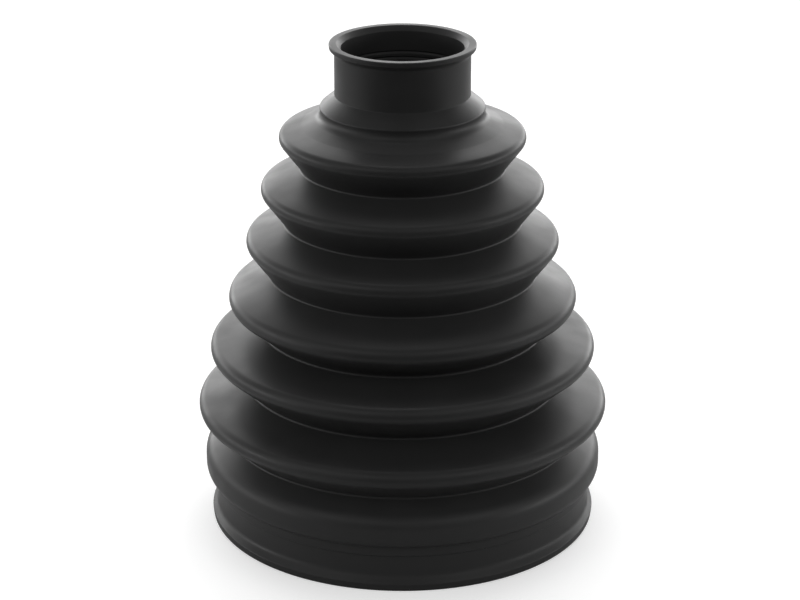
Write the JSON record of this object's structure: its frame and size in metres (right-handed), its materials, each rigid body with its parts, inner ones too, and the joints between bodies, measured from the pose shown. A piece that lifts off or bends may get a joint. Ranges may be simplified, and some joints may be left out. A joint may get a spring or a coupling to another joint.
{
  "type": "rubber bellows boot",
  "caption": "Tapered rubber bellows boot with wide ring folds, a beaded collar at the small end for a shaft and a lipped foot at the large end for a joint housing.",
  "frame": {"origin": "centre of the flat foot of the large end, on the boot's axis", "axes": "+Z along the axis, from the large end up to the small end; the boot is round, so +X and +Y are free"},
  "size_m": [0.0892, 0.0892, 0.1068],
  "materials": {
    "moulded_rubber": "satin black, as moulded"
  },
  "bodies": {
    "root": {"boot": "moulded_rubber"}
  },
  "joints": []
}
